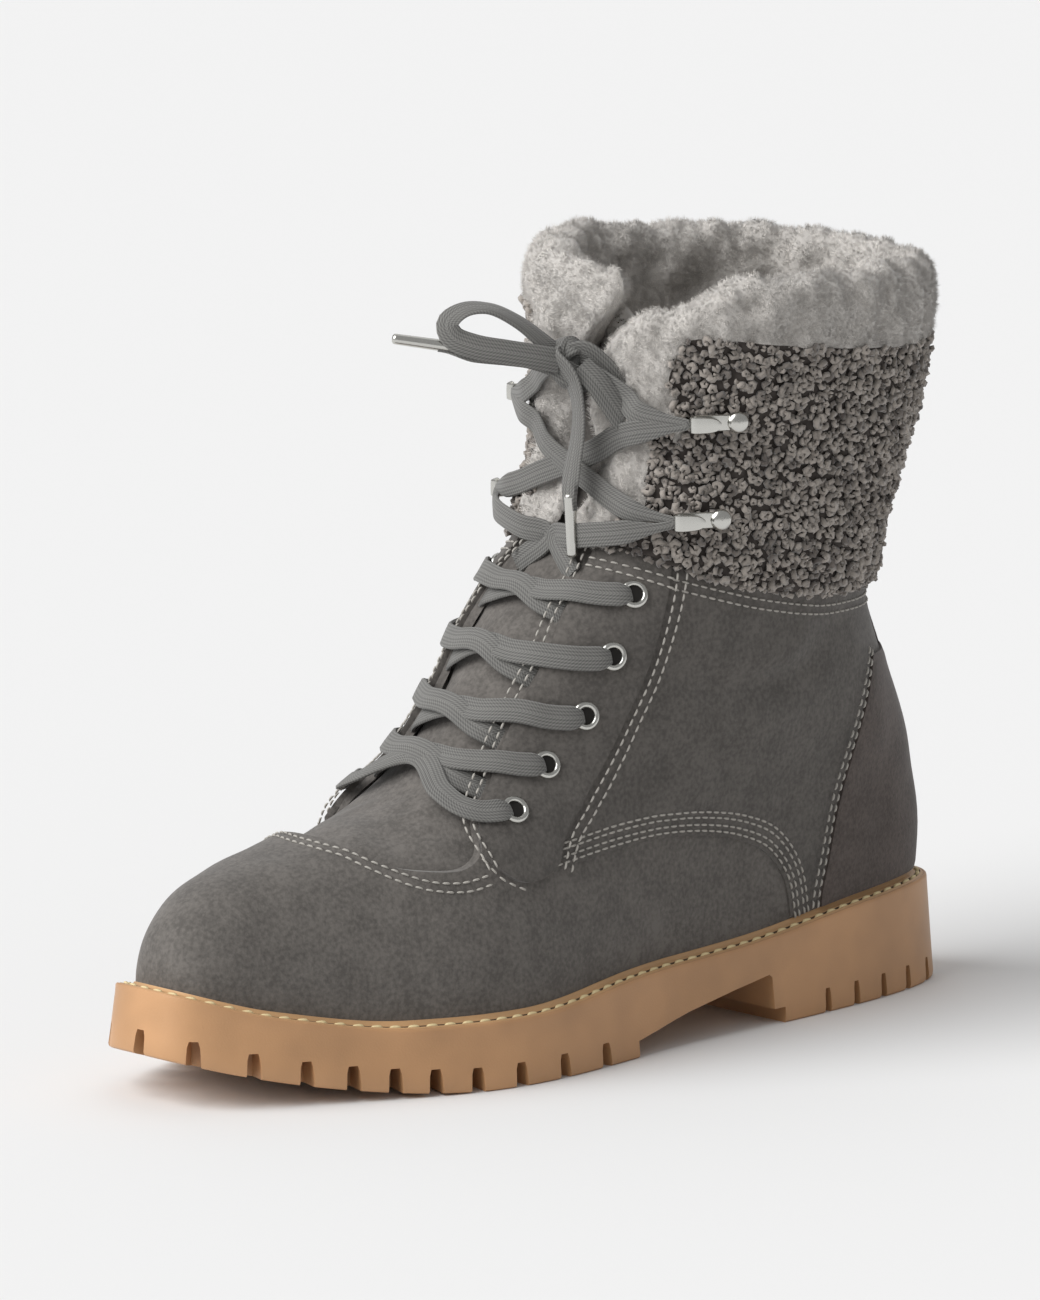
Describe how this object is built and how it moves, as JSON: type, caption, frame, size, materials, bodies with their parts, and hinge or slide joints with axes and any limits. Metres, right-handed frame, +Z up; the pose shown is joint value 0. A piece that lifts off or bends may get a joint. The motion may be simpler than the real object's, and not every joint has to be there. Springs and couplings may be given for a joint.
{
  "type": "sheepskin boot",
  "caption": "Left lace-up ankle boot of suede sheepskin with a rolled curly cuff, eyelets and speed hooks, flat lace tied in a bow, and a moulded lugged sole.",
  "frame": {"origin": "centre of the boot's footprint on the ground, without the bow, at the height of the tread", "axes": "+Z up, -Y towards the toe, +Y towards the heel, +X towards the lateral side of this left boot"},
  "size_m": [0.1004, 0.286, 0.222],
  "materials": {
    "sole_rubber": "satin gum rubber",
    "welt": "matte",
    "fleece": "wool pile",
    "suede": "napped suede",
    "dark_suede": "napped suede",
    "tongue_suede": "napped suede with fleece edge",
    "pelt": "curly sheepskin pile",
    "lace": "flat woven",
    "metal": "nickel plated"
  },
  "bodies": {
    "root": {"outsole": "sole_rubber", "welt": "welt", "insole": "fleece", "upper": "suede", "tongue": "tongue_suede", "heel_counter": "dark_suede", "backstay": "dark_suede", "eyestay_lateral": "suede", "eyestay_medial": "suede", "cuff": "pelt", "eyelet_lateral_1": "metal", "eyelet_lateral_2": "metal", "eyelet_lateral_3": "metal", "eyelet_lateral_4": "metal", "eyelet_lateral_5": "metal", "eyelet_medial_1": "metal", "eyelet_medial_2": "metal", "eyelet_medial_3": "metal", "eyelet_medial_4": "metal", "eyelet_medial_5": "metal", "hook_lateral_1": "metal", "hook_lateral_2": "metal", "hook_medial_1": "metal", "hook_medial_2": "metal", "lace_cross_1": "lace", "lace_cross_2": "lace", "lace_cross_3": "lace", "lace_cross_4": "lace", "lace_cross_5": "lace", "lace_cross_6": "lace", "lace_tie_lateral": "lace", "lace_tie_medial": "lace", "lace_knot": "lace", "lace_loop_left": "lace", "lace_loop_right": "lace", "lace_end_left": "lace", "lace_end_right": "lace", "aglet_left": "metal", "aglet_right": "metal"}
  },
  "joints": []
}
